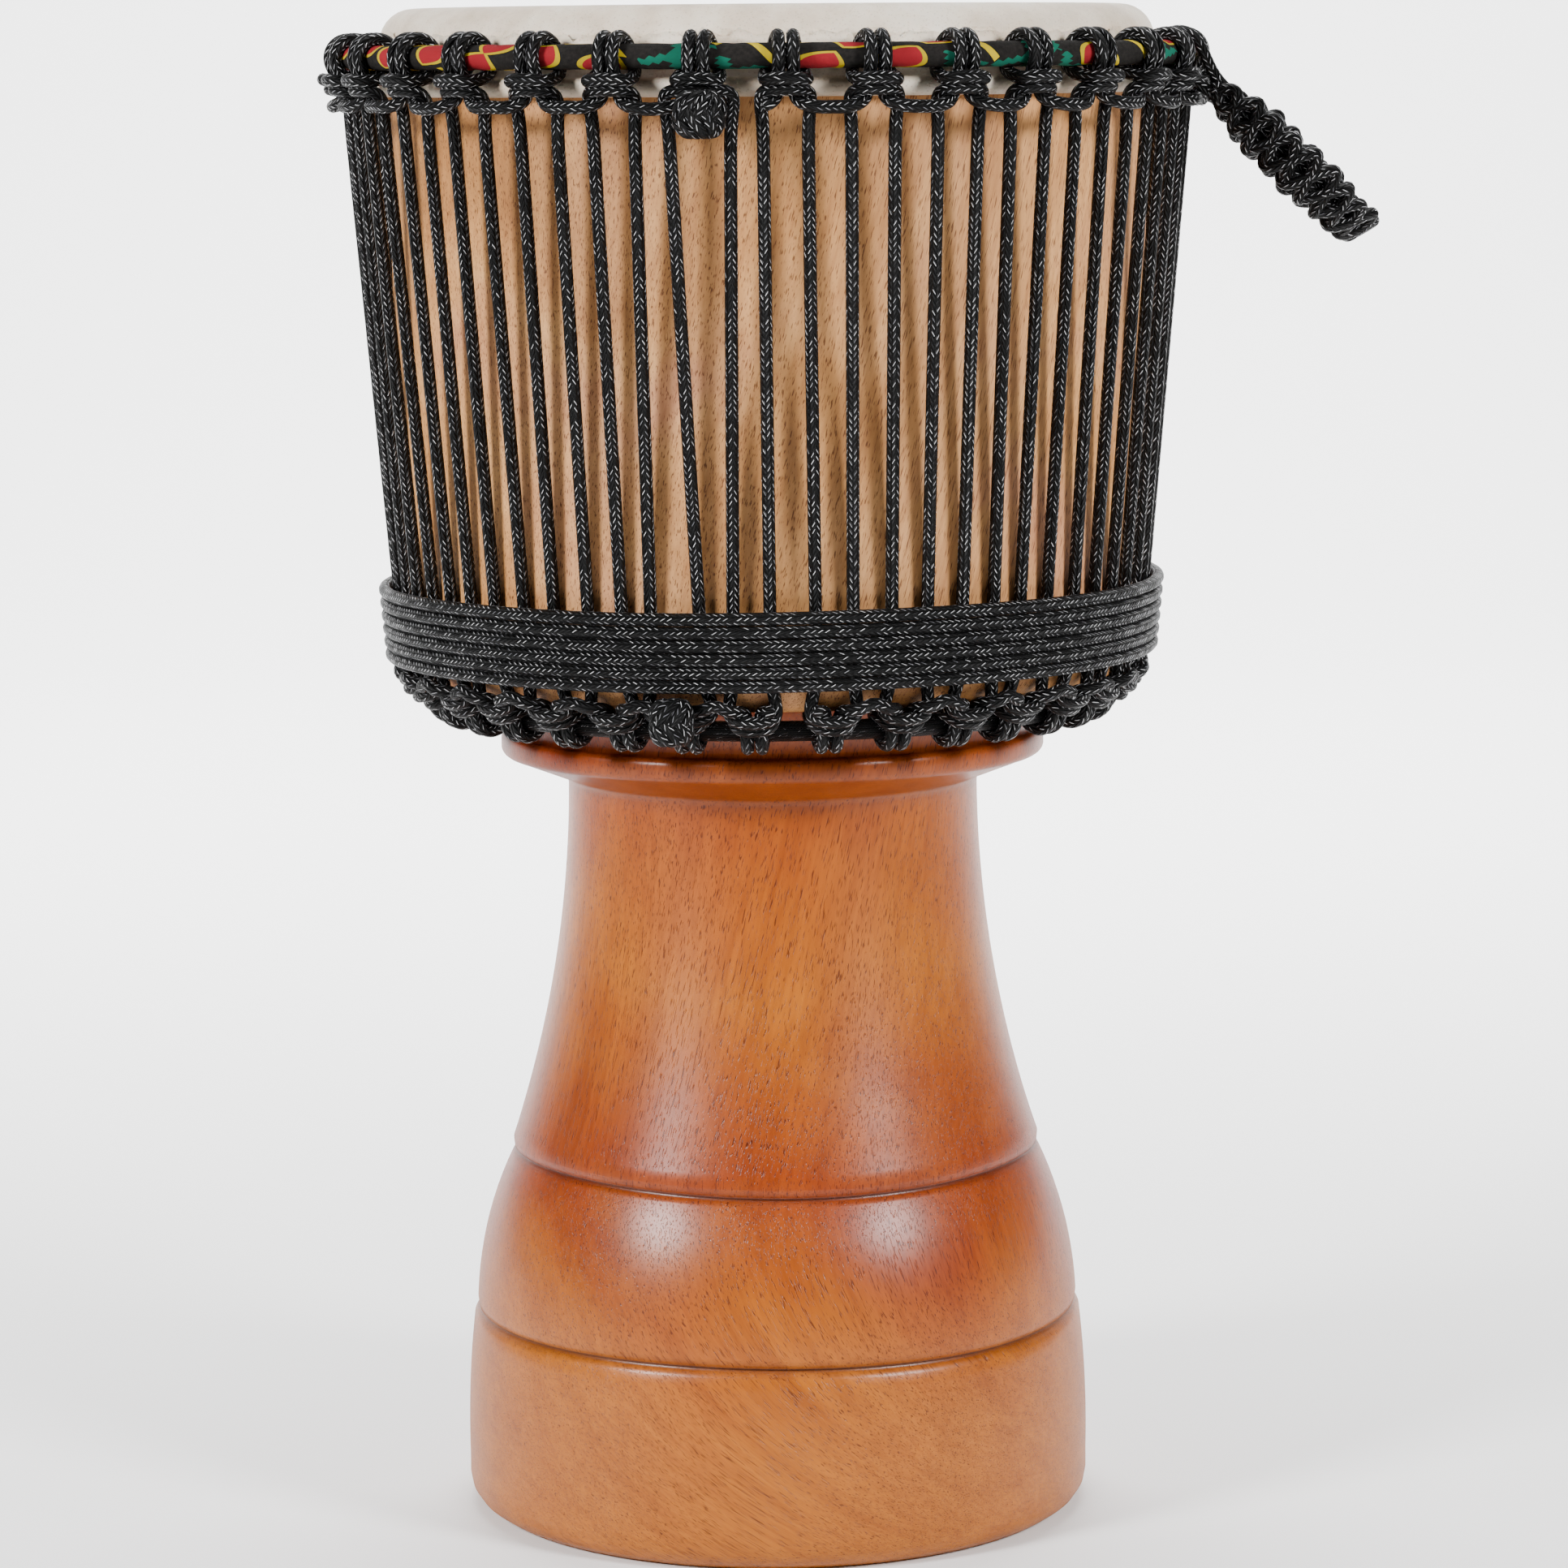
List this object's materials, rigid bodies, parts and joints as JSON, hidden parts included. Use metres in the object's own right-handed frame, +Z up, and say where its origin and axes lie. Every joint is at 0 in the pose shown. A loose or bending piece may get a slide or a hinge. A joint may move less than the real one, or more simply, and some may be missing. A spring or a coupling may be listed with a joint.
{
  "type": "djembe",
  "caption": "Goblet-shaped wooden hand drum with a goatskin head, rope tuning on steel rings and a knotted rope carrying handle.",
  "frame": {"origin": "on the drum's axis at the plane of the foot rim, where it stands", "axes": "+Z up the drum's axis towards the head, -Y the front, +X the side with the carrying handle"},
  "size_m": [0.417, 0.3636, 0.6],
  "materials": {
    "sleeve_braid": "glossy black polyester braid with pale flecks",
    "top_cradle_braid": "glossy black polyester braid with pale flecks",
    "bottom_cradle_braid": "glossy black polyester braid with pale flecks",
    "tension_braid": "glossy black polyester braid with pale flecks",
    "reserve_braid": "glossy black polyester braid with pale flecks",
    "top_knot_braid": "glossy black polyester braid with pale flecks",
    "bottom_knot_braid": "glossy black polyester braid with pale flecks",
    "tension_knot_braid": "glossy black polyester braid with pale flecks",
    "handle_core_braid": "glossy black polyester braid with pale flecks",
    "handle_cover_braid": "glossy black polyester braid with pale flecks",
    "shell_wood": "mahogany, natural bowl, lacquered stem",
    "goat_skin": "raw goat skin",
    "hoop_steel": "round bar, welded",
    "crown_steel": "round bar, welded",
    "bottom_steel": "round bar, welded",
    "crown_cloth": "printed cotton wrap"
  },
  "bodies": {
    "drum": {"shell": "shell_wood", "drum_head": "goat_skin", "flesh_hoop": "hoop_steel", "crown_ring": "crown_steel", "crown_ring_cloth": "crown_cloth", "bottom_ring": "bottom_steel", "bottom_ring_sleeve": "sleeve_braid", "top_cradle_cord": "top_cradle_braid", "bottom_cradle_cord": "bottom_cradle_braid", "tension_rope": "tension_braid", "reserve_turns": "reserve_braid", "top_cradle_knot": "top_knot_braid", "bottom_cradle_knot": "bottom_knot_braid", "tension_rope_knot": "tension_knot_braid"},
    "carry_handle": {"handle_core_cord": "handle_core_braid", "handle_cover_cord": "handle_cover_braid"}
  },
  "joints": [
    {"name": "handle_swing", "type": "hinge", "parent": "drum", "child": "carry_handle", "pos_m": [0.16105, -0.00879, 0.581], "axis": [-0.0545, -0.9985, 0], "range_deg": [-2, 90]}
  ]
}
